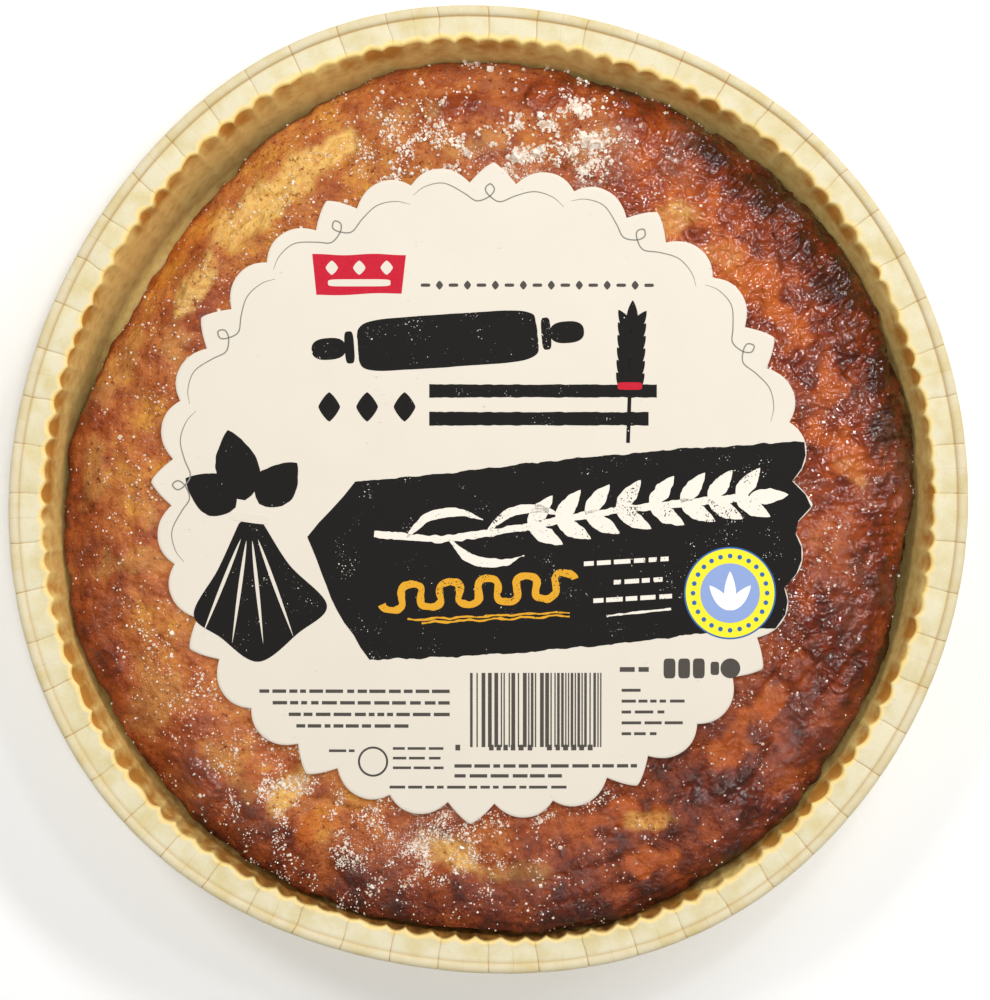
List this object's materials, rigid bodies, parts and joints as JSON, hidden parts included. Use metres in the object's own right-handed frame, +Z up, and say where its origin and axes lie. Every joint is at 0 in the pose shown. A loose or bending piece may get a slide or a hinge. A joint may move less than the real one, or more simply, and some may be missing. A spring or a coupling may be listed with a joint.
{
  "type": "kouign amann in a paper mould",
  "caption": "Round caramelised butter cake in a fluted pressed-paper mould with a rolled rim, with a scalloped card label lying on its crown.",
  "frame": {"origin": "centre of the mould's underside, on the surface that it stands on", "axes": "+Z up, +Y towards the top of the label, +X to the label's right"},
  "size_m": [0.2035, 0.2054, 0.0274],
  "materials": {
    "baking_paper": "buttered pale cream pressed paper, darker and greasy down the fluted wall",
    "caramel_crust": "baked crust, golden to dark red-brown, glossy caramel on one side, with sugar grains",
    "label_card": "matt uncoated cream card with printed fields of black, red, yellow and blue"
  },
  "bodies": {
    "root": {"paper_mould": "baking_paper", "cake": "caramel_crust", "label": "label_card"}
  },
  "joints": []
}
